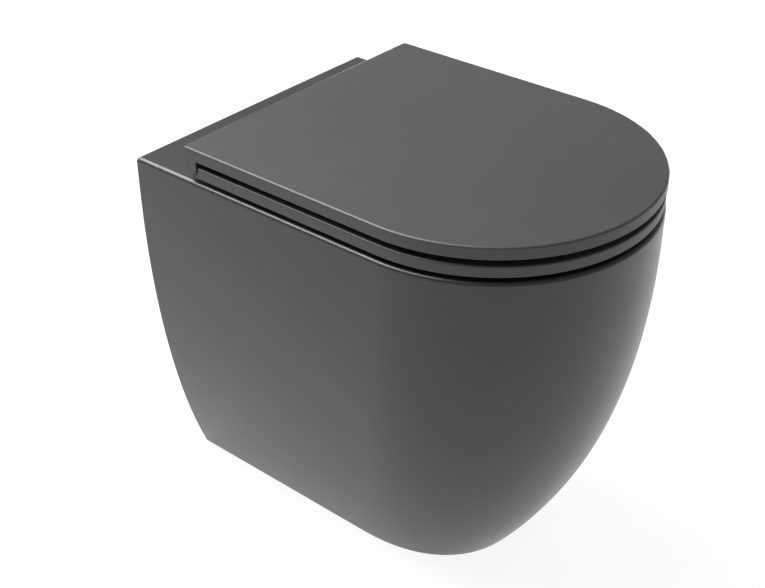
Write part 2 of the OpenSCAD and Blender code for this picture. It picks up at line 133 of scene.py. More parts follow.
def lathe(name, profile, place, axis="Z", steps=64):
    """A closed solid turned from (radius, height) points, which run upward, about an axis through place.

    The profile's ends lie on the axis where their radius is 0, and are capped otherwise.
    """
    turn = {
        "Z": Matrix.Identity(3),
        "Y": Matrix.Rotation(math.radians(-90), 3, "X"),
        "X": Matrix.Rotation(math.radians(90), 3, "Y"),
    }[axis]
    rings = []
    for radius, height in profile:
        ring = []
        for j in range(steps):
            a = 2 * math.pi * j / steps
            ring.append(Vector(place) + turn @ Vector((radius * math.cos(a), radius * math.sin(a), height)))
        rings.append(ring)
    return ring_stack(name, rings)


def prism(name, outline, x_from, x_to):
    """A solid with an outline of (y, z) points, counter-clockwise seen from +X, between two places on X."""
    points = [Vector((x_from, y, z)) for y, z in outline] + [Vector((x_to, y, z)) for y, z in outline]
    m = len(outline)
    faces = [(j, (j + 1) % m, m + (j + 1) % m, m + j) for j in range(m)]
    faces += [tuple(range(m - 1, -1, -1)), tuple(range(m, 2 * m))]
    return mesh_object(name, points, faces)


def box(name, low, high):
    """A plain block, used only to cut or to build on."""
    y0, y1, z0, z1 = low[1], high[1], low[2], high[2]
    return prism(name, [(y0, z0), (y1, z0), (y1, z1), (y0, z1)], low[0], high[0])


def mirrored(side, a, b):
    """The two places on X, in order, on the given side."""
    return sorted((side * a, side * b))


def two_clays(obj):
    """Gives a part of the pan its glazed and its bare material, which cutting and joining keep apart."""
    for material in (GLAZE, BISCUIT):
        obj.data.materials.append(material)
    return obj


def settle(obj):
    """Applies the object's modifiers to its mesh."""
    graph = bpy.context.evaluated_depsgraph_get()
    mesh = bpy.data.meshes.new_from_object(obj.evaluated_get(graph))
    obj.modifiers.clear()
    obj.data = mesh
    return obj


def combine(obj, tools, operation):
    """Joins tools to obj, or cuts them out of it, and removes them."""
    for tool in tools:
        cut = obj.modifiers.new("combine", "BOOLEAN")
        cut.operation = operation
        cut.solver = "MANIFOLD"
        cut.object = tool
        settle(obj)
        bpy.data.objects.remove(tool)
    return obj


def clean(obj, merge=0.01 * MM):
    """Joins points that lie together, and dissolves what that leaves behind."""
    bm = bmesh.new()
    bm.from_mesh(obj.data)
    bmesh.ops.remove_doubles(bm, verts=bm.verts, dist=merge)
    bmesh.ops.dissolve_degenerate(bm, edges=bm.edges, dist=merge)
    bm.to_mesh(obj.data)
    bm.free()
    return obj


def soften(obj, width, angle=40, segments=3):
    """Rounds every edge sharper than angle."""
    if width:
        bevel = obj.modifiers.new("soften", "BEVEL")
        bevel.width = width
        bevel.segments = segments
        bevel.limit_method = "ANGLE"
        bevel.angle_limit = math.radians(angle)
        bevel.use_clamp_overlap = True
        settle(obj)
    return obj


def shade(obj, angle=35):
    """Smooth shading that follows the large faces and keeps sharp edges."""
    for polygon in obj.data.polygons:
        polygon.use_smooth = True
    obj.data.set_sharp_from_angle(angle=math.radians(angle))
    weighted = obj.modifiers.new("weighted", "WEIGHTED_NORMAL")
    weighted.keep_sharp = True
    settle(obj)
    return obj


def finish_piece(obj, body, slot, materials, *nodes):
    """Gives a piece its materials and body, and hides the CAD nodes that it stands for; slot is not used."""
    while len(obj.data.materials) < len(materials):
        obj.data.materials.append(None)
    for index, material in enumerate(materials):
        obj.data.materials[index] = material
    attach(obj, body)
    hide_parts(*nodes)
    return obj


# ---- materials ----


class Nodes:
    """A short way to write a material's node tree."""

    def __init__(self, name):
        self.material = bpy.data.materials.new(name)
        self.material.use_nodes = True
        self.tree = self.material.node_tree
        self.shader = self.tree.nodes["Principled BSDF"]
        self.place = self.add("ShaderNodeTexCoord").outputs["Object"]

    def add(self, kind, **values):
        node = self.tree.nodes.new(kind)
        for key, value in values.items():
            setattr(node, key, value)
        return node

    def link(self, source, target):
        self.tree.links.new(source, target)

    def noise(self, scale, detail=3, roughness=0.5, stretch=(1, 1, 1)):
        """Noise with so many waves to the metre, stretched along the axes; its value is the output."""
        mapping = self.add("ShaderNodeMapping")
        mapping.inputs["Scale"].default_value = stretch
        node = self.add("ShaderNodeTexNoise")
        node.inputs["Scale"].default_value = scale
        node.inputs["Detail"].default_value = detail
        node.inputs["Roughness"].default_value = roughness
        self.link(self.place, mapping.inputs["Vector"])
        self.link(mapping.outputs["Vector"], node.inputs["Vector"])
        return node.outputs["Fac"]

    def spread(self, source, low, high, from_low=0.3, from_high=0.7):
        """Maps a value from its usual range to low..high."""
        node = self.add("ShaderNodeMapRange")
        sockets = {"From Min": from_low, "From Max": from_high, "To Min": low, "To Max": high}
        for name, value in sockets.items():
            node.inputs[name].default_value = value
        self.link(source, node.inputs["Value"])
        return node.outputs["Result"]

    def mix(self, factor, one, two):
        """A colour between two, each a colour or an output."""
        node = self.add("ShaderNodeMix", data_type="RGBA")
        self.link(factor, node.inputs["Factor"])
        for name, value in (("A", one), ("B", two)):
            socket = next(s for s in node.inputs if s.name == name and s.type == "RGBA")
            if isinstance(value, bpy.types.NodeSocket):
                self.link(value, socket)
            else:
                socket.default_value = (*value, 1)
        return next(s for s in node.outputs if s.type == "RGBA")

    def bump(self, height, distance, strength=1.0, under=None):
        """A bump of this height in metres, on top of another one."""
        node = self.add("ShaderNodeBump")
        node.inputs["Strength"].default_value = strength
        node.inputs["Distance"].default_value = distance
        self.link(height, node.inputs["Height"])
        if under is not None:
            self.link(under, node.inputs["Normal"])
        return node.outputs["Normal"]

    def set(self, **values):
        """Sets or links the shader's sockets; an underscore stands for a space."""
        for key, value in values.items():
            socket = self.shader.inputs[key.replace("_", " ")]
            if isinstance(value, bpy.types.NodeSocket):
                self.link(value, socket)
            else:
                socket.default_value = (*value, 1) if isinstance(value, tuple) else value
        return self.material


def grey(value, warm=0.0):
    """A near-neutral colour."""
    return (value * (1 + warm), value, value * (1 - warm))


def glazed_ceramic():
    """Satin dark glaze: a faint drift of tone, a soft orange-peel surface and a thin glossy coat."""
    n = Nodes("glazed_ceramic")
    tone = n.spread(n.noise(7, detail=4), 0, 1)
    fine = n.spread(n.noise(900, detail=1), 0.0, 0.25)
    base = n.mix(tone, grey(0.016), grey(0.018))
    base = n.mix(fine, base, grey(0.021))
    peel = n.bump(n.noise(140, detail=2), 0.05 * MM, 0.5)
    return n.set(
        Base_Color=base,
        Roughness=n.spread(n.noise(26, detail=5), 0.36, 0.39),
        Normal=n.bump(n.noise(1500, detail=2), 0.006 * MM, 0.5, peel),
        Coat_Weight=0.22,
        Coat_Roughness=0.2,
    )


def biscuit():
    """Unglazed fired clay inside the skirt: pale, rough, and speckled."""
    n = Nodes("biscuit_ceramic")
    drift = n.spread(n.noise(9, detail=5), 0, 1)
    specks = n.spread(n.noise(800, detail=2), 0, 0.8, 0.66, 0.72)
    base = n.mix(drift, (0.50, 0.47, 0.42), (0.60, 0.57, 0.52))
    base = n.mix(specks, base, (0.30, 0.26, 0.21))
    grain = n.bump(n.noise(1200, detail=4, roughness=0.65), 0.08 * MM, 0.6)
    return n.set(
        Base_Color=base,
        Roughness=n.spread(n.noise(300), 0.78, 0.92),
        Normal=n.bump(n.noise(60, detail=3), 0.4 * MM, 0.4, grain),
    )


def seat_resin():
    """Moulded thermoset with the same satin as the glaze, a little drier."""
    n = Nodes("seat_resin")
    tone = n.spread(n.noise(5, detail=3), 0, 1)
    base = n.mix(tone, grey(0.036), grey(0.039))
    micro = n.bump(n.noise(2200, detail=3, roughness=0.6), 0.01 * MM, 0.6)
    return n.set(
        Base_Color=base,
        Roughness=n.spread(n.noise(40, detail=4), 0.40, 0.43),
        Normal=n.bump(n.noise(90, detail=2), 0.04 * MM, 0.35, micro),
    )


def moulded_plastic():
    """Spark-textured black plastic."""
    n = Nodes("moulded_plastic")
    base = n.mix(n.spread(n.noise(60, detail=4), 0, 1), grey(0.016), grey(0.024))
    return n.set(
        Base_Color=base,
        Roughness=n.spread(n.noise(400, detail=3), 0.42, 0.58),
        Normal=n.bump(n.noise(3200, detail=4, roughness=0.7), 0.03 * MM, 0.7),
    )


def soft_rubber():
    """Dusty black rubber."""
    n = Nodes("soft_rubber")
    dust = n.spread(n.noise(120, detail=6, roughness=0.65), 0, 1, 0.45, 0.75)
    base = n.mix(dust, grey(0.013), grey(0.034, 0.03))
    return n.set(
        Base_Color=base,
        Roughness=n.spread(n.noise(500, detail=3), 0.62, 0.82),
        Normal=n.bump(n.noise(2600, detail=3), 0.03 * MM, 0.6),
        Sheen_Weight=0.15,
        Sheen_Roughness=0.6,
    )


def turned_steel():
    """Zinc-bright steel with turning marks and a faint bloom."""
    n = Nodes("turned_steel")
    marks = n.noise(500, detail=4, roughness=0.6, stretch=(1, 1, 9))
    bloom = n.spread(n.noise(70, detail=5), 0, 0.7, 0.5, 0.75)
    base = n.mix(bloom, (0.62, 0.63, 0.65), (0.50, 0.50, 0.50))
    return n.set(
        Base_Color=base,
        Metallic=1.0,
        Roughness=n.spread(marks, 0.24, 0.44),
        Normal=n.bump(marks, 0.02 * MM, 0.5),
    )


def pale_floor():
    """A near-white studio floor with a very faint mottle."""
    n = Nodes("pale_floor")
    return n.set(
        Base_Color=n.mix(n.noise(3, detail=2), grey(0.09), grey(0.10)),
        Roughness=n.spread(n.noise(30), 0.7, 0.8),
        Emission_Color=grey(1.0),
        Emission_Strength=0.90,
    )


def pale_backdrop():
    """A wall that gives off its own even tone."""
    n = Nodes("pale_backdrop")
    return n.set(
        Base_Color=grey(0.0),
        Specular_IOR_Level=0.0,
        Roughness=1.0,
        Emission_Color=n.mix(n.noise(0.2, detail=1), grey(0.74), grey(0.76)),
        Emission_Strength=1.0,
    )


GLAZE = glazed_ceramic()
BISCUIT = biscuit()
RESIN = seat_resin()
PLASTIC = moulded_plastic()
RUBBER = soft_rubber()
STEEL = turned_steel()
# the finish and the edge rounding of the CAD nodes in each of the record's material slots
SLOT_FINISH = {
    "black_plastic": (PLASTIC, 0.5 * MM),
    "rubber": (RUBBER, 0.4 * MM),
    "steel": (STEEL, 0.3 * MM),
}

# ---- outlines ----


def angles(turn, steps):
    """The angles from 0 up to turn in equal steps."""
    return [turn * i / steps for i in range(steps + 1)]


def signed_power(value, power):
    """A power that keeps the value's sign."""
    return math.copysign(abs(value) ** power, value)


def d_ring(z, half_w, back, side, tip, power=2.0, corner=CORNER_ROUND):
    """A D-shaped ring at height z with rounded rear corners, from distances to the wall."""
    points = []
    for a in angles(math.pi, NOSE_STEPS):
        nose = (tip - side) * max(math.sin(a), 0.0) ** (2 / power)
        points.append((-half_w * signed_power(math.cos(a), 2 / power), side + nose))
    for i in range(1, SIDE_STEPS):
        points.append((half_w, side + (back + corner - side) * i / SIDE_STEPS))
    for a in angles(math.pi / 2, CORNER_STEPS):
        points.append((half_w - corner * (1 - math.cos(a)), back + corner * (1 - math.sin(a))))
    for i in range(1, BACK_STEPS):
        points.append(((half_w - corner) * (1 - 2 * i / BACK_STEPS), back))
    for a in angles(math.pi / 2, CORNER_STEPS):
        points.append((-half_w + corner * (1 - math.sin(a)), back + corner * (1 - math.cos(a))))
    for i in range(1, SIDE_STEPS):
        points.append((-half_w, back + corner + (side - back - corner) * i / SIDE_STEPS))
    return [Vector((x, at_wall(d), z)) for x, d in points]


# the directions in which a D-shaped ring's points lie, seen from the middle of the pan
RING_MID = PAN_D / 2
TURNS = [
    math.atan2((at_wall(0) - p.y - RING_MID) / RING_MID, p.x / PAN_HALF_W)
    for p in d_ring(0, PAN_HALF_W, 0, SKIRT_SIDE, PAN_D)
]


def oval_ring(z, half_w, rear, front, power=2.0):
    """An oval ring at height z, whose points lie in the same directions as those of the D-shaped ones."""
    mid, half_d = (rear + front) / 2, (front - rear) / 2
    return [
        Vector((
            half_w * signed_power(math.cos(t), 2 / power),
            at_wall(mid + half_d * signed_power(math.sin(t), 2 / power)),
            z,
        ))
        for t in TURNS
    ]


def quarter_round(steps=ROUND_STEPS):
    """(share in, share down) of the radius along a quarter round, from the side to the top."""
    return [(1 - math.cos(a), 1 - math.sin(a)) for a in angles(math.pi / 2, steps)]


def catmull(points, t):
    """A point on a smooth line through the given tuples; t counts them."""
    i = min(int(t), len(points) - 2)
    f = t - i
    a, b, c, d = (points[min(max(k, 0), len(points) - 1)] for k in (i - 1, i, i + 1, i + 2))
    return tuple(
        0.5 * (2 * q + (r - p) * f + (2 * p - 5 * q + 4 * r - s) * f * f + (3 * q - p - 3 * r + s) * f**3)
        for p, q, r, s in zip(a, b, c, d)
    )


# ---- the pan ----


def curve_in(z):
    """How far the skirt has curved in at height z: 0 at the belly, 1 at the floor."""

    def drop(height):
        return 0 if height >= BELLY_Z else 1 - math.sqrt(1 - ((BELLY_Z - height) / SKIRT_ARC) ** 2)

    return drop(z) / drop(0)


def skirt_ring(z, inset=0.0):
    """The skirt's outline at height z, or a ring so far inside it."""
    c = curve_in(z)
    return d_ring(
        z,
        PAN_HALF_W - (PAN_HALF_W - FOOT_HALF_W) * c - inset,
        inset,
        SKIRT_SIDE + (FOOT_SIDE - SKIRT_SIDE) * c,
        PAN_D - FOOT_SETBACK * c - inset,
        2 + (FOOT_POWER - 2) * c,
    )


# the bowl below its rim: depth below the deck, half width, rear and front, in mm
BOWL_ROWS = [
    (8, 121, 164, 451), (34, 122, 163, 452), (60, 121, 164, 451), (76, 117, 168, 446), (110, 104, 180, 430),
    (150, 84, 197, 404), (186, 67, 214, 378), (220, 56, 229, 356), (262, 49, 238, 340), (300, 44, 242, 332),
    (324, 37, 250, 322), (334, 24, 265, 306),
]
# the small ring that closes the outside of the bowl underneath: half width, rear and front, in mm
BOWL_END = (20, 268, 303)
BOWL_SINK = 6
BOWL_SUBSTEPS = 4
RIM_ROUND = 6 * MM
HOLLOW_STEPS = 12
FOOT_STEPS = 3


def bowl_rings(grow, lower):
    """The bowl's rings from the rim down, grown outward and moved down, in mm."""
    rings = []
    for i in range((len(BOWL_ROWS) - 1) * BOWL_SUBSTEPS + 1):
        depth, half_w, rear, front = catmull(BOWL_ROWS, i / BOWL_SUBSTEPS)
        z = DECK_Z - (depth + lower) * MM
        rings.append(oval_ring(z, (half_w + grow) * MM, (rear - grow) * MM, (front + grow) * MM))
    return rings


def pan_body():
    """The skirt and the deck, with the outside of the bowl standing in the hollow underneath."""
    _, half_w, rear, front = BOWL_ROWS[0]
    wall = CERAMIC_T / MM
    outside_bowl = bowl_rings(wall, BOWL_SINK)
    under = [r for r in reversed(outside_bowl) if r[0].z < UNDER_DECK - 2 * MM]
    lowest = DECK_Z - (BOWL_ROWS[-1][0] + wall) * MM
    rings = [oval_ring(lowest, *(size * MM for size in BOWL_END)), *under]
    rings.append(oval_ring(UNDER_DECK, (half_w + wall) * MM, (rear - wall) * MM, (front + wall) * MM))
    rings.append(skirt_ring(UNDER_DECK, CERAMIC_T))
    for i in range(1, HOLLOW_STEPS):
        rings.append(skirt_ring(UNDER_DECK * (1 - i / HOLLOW_STEPS), CERAMIC_T))
    rings.append(skirt_ring(0, CERAMIC_T))
    first_glazed = len(rings)
    rings += foot_rings() + skirt_rings() + deck_rings()
    return ring_stack("pan_ceramic", rings, material_of=lambda k: 1 if k < first_glazed else 0)


def bowl_room():
    """The room inside the bowl, with the rounding of the rim and a little above the deck."""
    _, half_w, rear, front = BOWL_ROWS[0]

    def rim_ring(z, grow):
        """The rim's outline at height z, grown outward."""
        return oval_ring(z, half_w * MM + grow, rear * MM - grow, front * MM + grow)

    rings = bowl_rings(0, 0)[::-1]
    rings += [rim_ring(DECK_Z - RIM_ROUND * down, RIM_ROUND * inward) for inward, down in quarter_round()]
    rings.append(rim_ring(DECK_Z + 1 * MM, RIM_ROUND))
    return ring_stack("bowl_room", rings)


def foot_rings():
    """The quarter round from the sole up to the skirt."""
    sole_first = reversed(quarter_round(FOOT_STEPS)[1:])
    return [skirt_ring(FOOT_ROUND * up, FOOT_ROUND * inward) for inward, up in sole_first]


def skirt_rings():
    """The skirt from the foot up to where the deck's edge starts to round."""
    top = DECK_Z - DECK_ROUND
    return [skirt_ring(FOOT_ROUND + (top - FOOT_ROUND) * i / SKIRT_STEPS) for i in range(SKIRT_STEPS)]


def deck_rings():
    """The deck's rounded outer edge and the start of its flat."""
    rings = [skirt_ring(DECK_Z - DECK_ROUND * down, DECK_ROUND * inward) for inward, down in quarter_round()]
    return rings + [skirt_ring(DECK_Z, DECK_ROUND + 0.8 * MM)]


# The trapway leaves the sump level, rises, turns over a crest, drops and comes level again at the outlet.
# Its places are (distance from the wall, height, heading above level, inside radius), in mm and radians.
TRAP_START = (316, 112, 0, 27)
TRAP_RISE, TRAP_FALL = math.radians(66), math.radians(38)
CREST_Z = 217
RISE_R, CREST_R, EXIT_R = 44, 42, 56
FIRST_STRAIGHT = 48
TRAP_TAIL = 6
BEND_STEPS = 14
TRAP_SIDES = 40
TRAP_T = 9
OUTLET_Z = 180 * MM
OUTLET_R = 51 * MM
OUTLET_BORE = 45 * MM
OUTLET_BORE_END = 79 * MM
SPIGOT_END = 40 * MM
SPIGOT_START = 90 * MM
INLET_Z = 335 * MM
INLET_R = 30 * MM
INLET_MOUTH = 58 * MM
INLET_SEAT_END = 92 * MM
FLUSH_R = 22 * MM
# how far a cut runs past the face that it opens
PAST = 1 * MM


def trap_places():
    """The places along the trapway's centre line: straights joined by three bends."""
    outlet = OUTLET_Z / MM
    rise_cut, fall_cut = 1 - math.cos(TRAP_RISE), 1 - math.cos(TRAP_FALL)
    # each row: the straight before the bend, the bend's radius, its turn, the tube's radius after it
    bends = [
        (FIRST_STRAIGHT, RISE_R, TRAP_RISE, TRAP_START[3]),
        ((CREST_Z - TRAP_START[1] - (RISE_R + CREST_R) * rise_cut) / math.sin(TRAP_RISE), CREST_R,
         -TRAP_RISE - TRAP_FALL, 31),
        ((CREST_Z - outlet - (CREST_R + EXIT_R) * fall_cut) / math.sin(TRAP_FALL), EXIT_R, TRAP_FALL, 40),
    ]
    places = [TRAP_START]
    for straight, bend_r, turn, end_r in bends:
        d, z, heading, start_r = places[-1]
        d, z = d - straight * math.cos(heading), z + straight * math.sin(heading)
        r = math.copysign(bend_r, turn)
        for k in range(BEND_STEPS + 1):
            a = heading + turn * k / BEND_STEPS
            places.append((
                d - r * (math.sin(a) - math.sin(heading)), z + r * (math.cos(heading) - math.cos(a)), a,
                start_r + (end_r - start_r) * k / BEND_STEPS,
            ))
    d, z, heading, r = places[-1]
    return places + [(d - TRAP_TAIL, z, heading, r)]


def trap_tube(name, grow):
    """A round tube along the trapway, its radius grown by so many mm."""
    rings = []
    for d, z, heading, r in trap_places():
        ring = []
        for k in range(TRAP_SIDES):
            a = -2 * math.pi * (k + 0.5) / TRAP_SIDES
            side, up = (r + grow) * math.cos(a), (r + grow) * math.sin(a)
            ring.append(Vector((
                side * MM, at_wall((d + up * math.sin(heading)) * MM), (z + up * math.cos(heading)) * MM
            )))
        rings.append(ring)
    return ring_stack(name, rings, material_of=lambda k: 1 if grow else 0)


def pipe(name, start, end, z, radius, edge=0.0, material=0):
    """A round bar along Y between two distances from the wall, its rear edge rounded."""
    profile = [(radius, 0)]
    length = end - start
    if edge:
        profile += [(radius - edge * inward, length - edge * down) for inward, down in quarter_round(4)]
    else:
        profile.append((radius, length))
    obj = lathe(name, profile, (0, at_wall(end), z), axis="Y", steps=72)
    for polygon in obj.data.polygons:
        polygon.material_index = material
    return obj


# the rear opening's side from the sole up, and where its upper corner starts to turn, as (x, z) in mm
REAR_SIDE = [(98, -2), (126, 110), (144, 230), (146, 350)]
REAR_CORNER = (146, 364)
REAR_CORNER_R = 30
REAR_CORNER_STEPS = 8


def rear_opening():
    """The opening in the back of the skirt, with rounded upper corners."""
    top_x, top_z = REAR_CORNER
    turn = angles(math.pi / 2, REAR_CORNER_STEPS)
    corner = [
        (top_x - REAR_CORNER_R * (1 - math.cos(a)), top_z + REAR_CORNER_R * math.sin(a)) for a in turn
    ]
    right = [(x * MM, z * MM) for x, z in REAR_SIDE + corner]
    outline = right + [(-x, z) for x, z in reversed(right)]
    d_in, d_out = CERAMIC_T + PAST, -PAST
    front = [Vector((x, at_wall(d_in), z)) for x, z in outline]
    back = [Vector((x, at_wall(d_out), z)) for x, z in outline]
    m = len(outline)
    faces = [(j, m + j, m + (j + 1) % m, (j + 1) % m) for j in range(m)]
    faces += [tuple(range(m)), tuple(range(2 * m - 1, m - 1, -1))]
    obj = mesh_object("rear_opening", front + back, faces, [1] * (m + 2))
    return make_outward(obj)


def make_outward(obj):
    """Turns a closed mesh's faces outward."""
    bm = bmesh.new()
    bm.from_mesh(obj.data)
    bmesh.ops.recalc_face_normals(bm, faces=bm.faces)
    bm.to_mesh(obj.data)
    bm.free()
    return obj


post_low, post_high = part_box("hinge_post_right")
POST_X, POST_Y = (post_low.x + post_high.x) / 2, (post_low.y + post_high.y) / 2
LUG_LOW, LUG_HIGH = 48 * MM, 62 * MM
LUG_IN, LUG_OUT = 62 * MM, 128 * MM
LUG_HALF_D = 18 * MM
LUG_EDGE = 2.5 * MM
POST_HOLE_R = 7 * MM
LUG_HOLE_R = 6 * MM


def upright_hole(name, x, z_from, z_to, radius):
    """A hole on a post's line between two heights."""
    return lathe(name, [(radius, 0), (radius, z_to - z_from)], (x, POST_Y, z_from), steps=48)


def build_lug(side):
    """The ledge of bare clay inside the skirt, where the floor bracket holds on."""
    inner, outer = mirrored(side, LUG_IN, LUG_OUT)
    lug = box(f"lug{side}", (inner, POST_Y - LUG_HALF_D, LUG_LOW), (outer, POST_Y + LUG_HALF_D, LUG_HIGH))
    soften(lug, LUG_EDGE)
    for polygon in lug.data.polygons:
        polygon.material_index = 1
    return lug


def pan_holes():
    """All that is cut out of the casting."""
    rear = BOWL_ROWS[0][2] * MM
    holes = [
        bowl_room(),
        trap_tube("trapway", 0),
        pipe("outlet_bore", SPIGOT_END - PAST, OUTLET_BORE_END, OUTLET_Z, OUTLET_BORE),
        pipe("inlet_seat", INLET_MOUTH - PAST, INLET_SEAT_END, INLET_Z, INLET_R),
        pipe("flush_way", INLET_SEAT_END - PAST, rear + 20 * MM, INLET_Z, FLUSH_R),
    ]
    for x in (-POST_X, POST_X):
        holes.append(upright_hole("deck_hole", x, UNDER_DECK - PAST, DECK_Z + PAST, POST_HOLE_R))
        holes.append(upright_hole("lug_hole", x, LUG_LOW - PAST, LUG_HIGH + PAST, LUG_HOLE_R))
    holes.append(rear_opening())
    return holes


def build_pan():
    """The casting: skirt, deck and bowl, with the trapway, pipe ends and lugs joined to them."""
    rear = BOWL_ROWS[0][2] * MM
    pan = two_clays(pan_body())
    combine(pan, [two_clays(tool) for tool in (
        trap_tube("trap_outside", TRAP_T),
        pipe("spigot", SPIGOT_END, SPIGOT_START, OUTLET_Z, OUTLET_R, 2 * MM, 1),
        pipe("inlet_boss", INLET_MOUTH, rear - 1 * MM, INLET_Z, INLET_R + CERAMIC_T, 3 * MM, 1),
        build_lug(-1),
        build_lug(1),
    )], "UNION")
    combine(pan, [two_clays(hole) for hole in pan_holes()], "DIFFERENCE")
    clean(pan)
    shade(pan, 42)
    return finish_piece(pan, "pan_body", "ceramic", [GLAZE, BISCUIT], "pan")


# ---- the cover and the seat ----

COVER_REAR = WALL_Y - cover_high.y
COVER_TIP = WALL_Y - cover_low.y
COVER_SIDE = COVER_REAR + 252.9 * MM
COVER_HALF_W = cover_high.x
COVER_CORNER = 2 * MM
COVER_TOP = cover_high.z
COVER_T = 13.1 * MM
COVER_Z = COVER_TOP - COVER_T
COVER_SKIN = 6.2 * MM
COVER_UNDER = COVER_TOP - COVER_SKIN
COVER_ROUND = 2.5 * MM
COVER_LOWER_ROUND = 0.8 * MM
RIM_W = 4 * MM
RIM_DRAFT = 0.16 * MM
RIM_FILLET = 3 * MM
BLOCK_R = 8.9 * MM
BLOCK_IN = 105 * MM
BLOCK_EDGE = 0.7 * MM
NOTCH_IN = 56 * MM
NOTCH_RISE = 2.2 * MM
SHAFT_OUT = 121 * MM
KEY_W = 8 * MM
BUSH_R = 6 * MM
ARC_STEPS = 24

SEAT_T = 12.7 * MM
SEAT_Z = DECK_Z + 4.4 * MM
SEAT_TOP = SEAT_Z + SEAT_T
SEAT_REAR_SETBACK = 8 * MM
SEAT_SETBACK = 0.5 * MM
SEAT_EDGE = 2 * MM
OPENING_HALF_W = 108 * MM
OPENING_REAR = 160.4 * MM
OPENING_FRONT = 438.4 * MM
OPENING_POWER = 2.25
OPENING_ROUND = 7 * MM
OPENING_LOWER_ROUND = 2.5 * MM
DISH = 0.8 * MM
HOLLOW_RISE = 3 * MM
KNUCKLE_IN, KNUCKLE_OUT = 92.5 * MM, 104.5 * MM
KNUCKLE_R = 9 * MM
KNUCKLE_EDGE = 0.6 * MM
SCOOP_R = 10.8 * MM
SEAT_NOTCH = 28 * MM
# past the rear of the seat and the cover, counted from the hinge axis
BEHIND = 20 * MM


def cover_ring(z, inset):
    """The cover's outline at height z, or a ring so far inside it."""
    half_w, back, tip = COVER_HALF_W - inset, COVER_REAR + inset, COVER_TIP - inset
    return d_ring(z, half_w, back, COVER_SIDE, tip, corner=COVER_CORNER)


def seat_outline(z, inset):
    """The seat's outer outline at height z, or a ring so far inside it."""
    half_w, tip = COVER_HALF_W - SEAT_SETBACK - inset, COVER_TIP - SEAT_SETBACK - inset
    return d_ring(z, half_w, COVER_REAR + SEAT_REAR_SETBACK, COVER_SIDE, tip, corner=COVER_CORNER)


def opening_ring(z, grow):
    """The seat opening's outline at height z, grown outward."""
    return oval_ring(z, OPENING_HALF_W + grow, OPENING_REAR - grow, OPENING_FRONT + grow, OPENING_POWER)


def axle(name, side, start, end, radius):
    """A round bar on the hinge axis between two distances from the middle."""
    low, high = mirrored(side, start, end)
    return lathe(name, [(radius, 0), (radius, high - low)], (low, AXIS.y, AXIS.z), axis="X", steps=72)


def key(name, side, start, end):
    """A square bar on the hinge axis between two distances from the middle."""
    low, high = mirrored(side, start, end)
    half = KEY_W / 2
    return box(name, (low, AXIS.y - half, AXIS.z - half), (high, AXIS.y + half, AXIS.z + half))


def cover_slab():
    """The cover's shell from its hollow underside, over the rim and the outer edge, to its top."""
    rings = [cover_ring(COVER_UNDER, RIM_W + 30 * MM), cover_ring(COVER_UNDER, RIM_W + RIM_FILLET)]
    rings += [
        cover_ring(COVER_UNDER - RIM_FILLET * drop, RIM_W + RIM_FILLET * inset)
        for drop, inset in quarter_round(4)[1:]
    ]
    rings += [cover_ring(COVER_Z, RIM_W + RIM_DRAFT), cover_ring(COVER_Z, COVER_LOWER_ROUND)]
    rings += [
        cover_ring(COVER_Z + COVER_LOWER_ROUND * up, COVER_LOWER_ROUND * inset)
        for up, inset in quarter_round(3)[1:]
    ]
    rings += [
        cover_ring(COVER_TOP - COVER_ROUND * down, COVER_ROUND * inward) for inward, down in quarter_round(8)
    ]
    rings += [cover_ring(COVER_TOP, COVER_ROUND + 0.5 * MM), cover_ring(COVER_TOP, COVER_ROUND + 25 * MM)]
    return ring_stack("cover_shell", rings)


def cover_block(side):
    """The end of the block that wraps down round the hinge line."""
    low, high = mirrored(side, BLOCK_IN, COVER_HALF_W)
    arc = [
        (AXIS.y - BLOCK_R * math.cos(a), AXIS.z - BLOCK_R * math.sin(a)) for a in angles(math.pi, ARC_STEPS)
    ]
    top = COVER_TOP - COVER_ROUND
    outline = [*arc, (AXIS.y + BLOCK_R, top), (AXIS.y - BLOCK_R, top)]
    return soften(prism(f"block{side}", outline, low, high), BLOCK_EDGE)


def cover_notch(side):
    """The room for a hinge housing behind the cover's rim."""
    low, high = mirrored(side, NOTCH_IN, BLOCK_IN)
    top = COVER_UNDER + NOTCH_RISE
    return box(f"notch{side}", (low, AXIS.y - PAST, COVER_Z - PAST), (high, AXIS.y + BEHIND, top))


def build_cover():
    """The cover's slab with its two blocks, open for the hinges, the keyed shaft and the bush."""
    cover = cover_slab()
    combine(cover, [cover_block(-1), cover_block(1)], "UNION")
    combine(cover, [
        cover_notch(-1),
        cover_notch(1),
        key("key_hole", -1, BLOCK_IN - PAST, SHAFT_OUT),
        axle("bush_hole", 1, BLOCK_IN - PAST, SHAFT_OUT, BUSH_R),
    ], "DIFFERENCE")
    clean(cover)
    shade(cover)
    return finish_piece(cover, "lid", "seat_resin", [RESIN], "cover")


